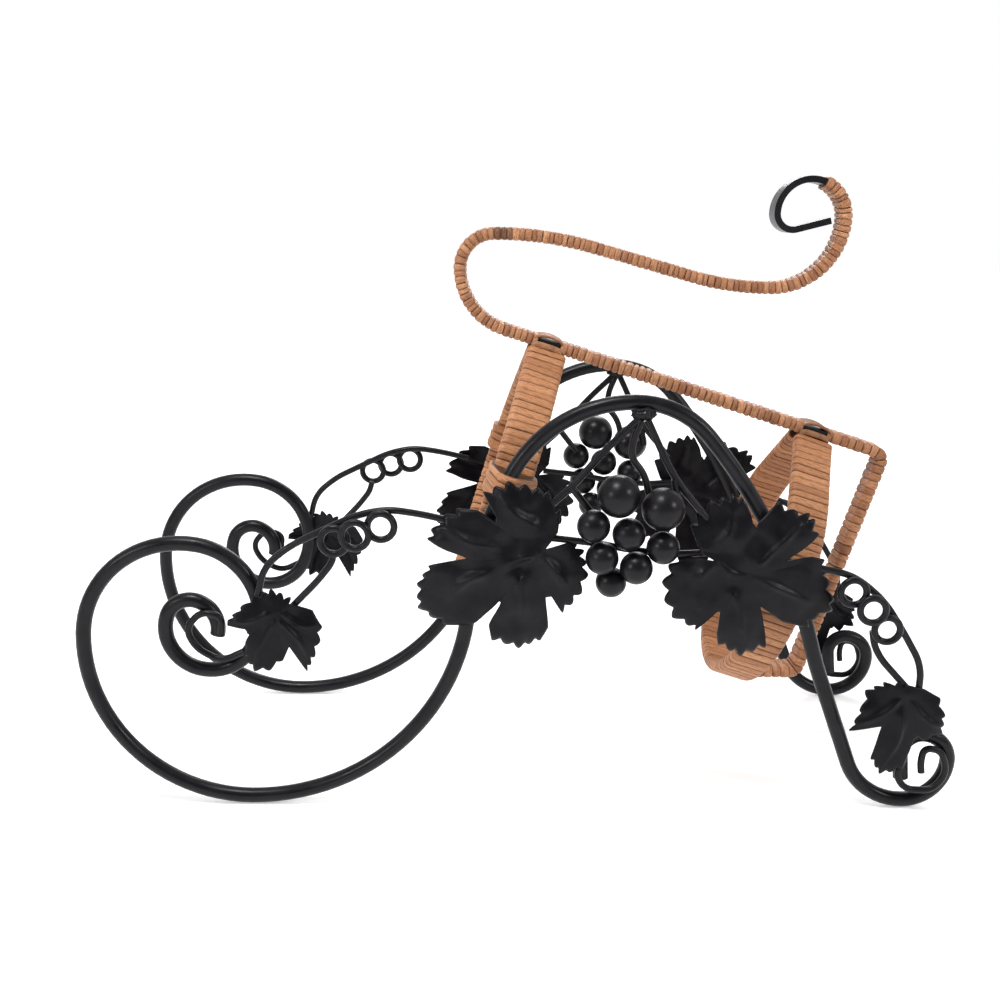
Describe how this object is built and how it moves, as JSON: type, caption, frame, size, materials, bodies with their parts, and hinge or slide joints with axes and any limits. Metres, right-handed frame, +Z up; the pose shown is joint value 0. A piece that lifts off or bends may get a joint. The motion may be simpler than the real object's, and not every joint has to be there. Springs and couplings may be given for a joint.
{
  "type": "single bottle wine rack",
  "caption": "Tabletop wine rack: wrought-iron side frames of vine scrolls, leaves and grapes hold two cane-bound collars for a slanted bottle, with a curled cane-bound handle.",
  "frame": {"origin": "on the table, under the middle of the rack's length and width", "axes": "+X from the bottle's neck end to its base end, +Y across the rack, +Z up"},
  "size_m": [0.3228, 0.14, 0.2289],
  "materials": {
    "black_iron": "satin black paint",
    "cane": "matte split rattan cane"
  },
  "bodies": {
    "root": {"handle_bar": "black_iron", "front_collar_band": "black_iron", "rear_collar_band": "black_iron", "handle_wrap": "cane", "bar_wrap": "cane", "stop_wrap": "cane", "front_collar_wrap": "cane", "rear_collar_wrap": "cane", "left_side_rod": "black_iron", "left_weld_bead": "black_iron", "left_stalk_front": "black_iron", "left_stalk_front_branch": "black_iron", "left_stalk_middle": "black_iron", "left_stalk_rear": "black_iron", "left_stalk_rear_branch": "black_iron", "left_cross_wire": "black_iron", "left_front_vine": "black_iron", "left_front_branch": "black_iron", "left_front_rings": "black_iron", "left_rear_vine": "black_iron", "left_rear_branch": "black_iron", "left_rear_rings": "black_iron", "left_front_tendril": "black_iron", "left_rear_tendril": "black_iron", "left_grapes": "black_iron", "left_front_big_leaf": "black_iron", "left_rear_big_leaf": "black_iron", "left_front_small_leaf": "black_iron", "left_rear_small_leaf": "black_iron", "left_front_tie": "cane", "left_rear_tie": "cane", "right_side_rod": "black_iron", "right_weld_bead": "black_iron", "right_stalk_front": "black_iron", "right_stalk_front_branch": "black_iron", "right_stalk_middle": "black_iron", "right_stalk_rear": "black_iron", "right_stalk_rear_branch": "black_iron", "right_cross_wire": "black_iron", "right_front_vine": "black_iron", "right_front_branch": "black_iron", "right_front_rings": "black_iron", "right_rear_vine": "black_iron", "right_rear_branch": "black_iron", "right_rear_rings": "black_iron", "right_front_tendril": "black_iron", "right_rear_tendril": "black_iron", "right_grapes": "black_iron", "right_front_big_leaf": "black_iron", "right_rear_big_leaf": "black_iron", "right_front_small_leaf": "black_iron", "right_rear_small_leaf": "black_iron", "right_front_tie": "cane", "right_rear_tie": "cane"}
  },
  "joints": []
}
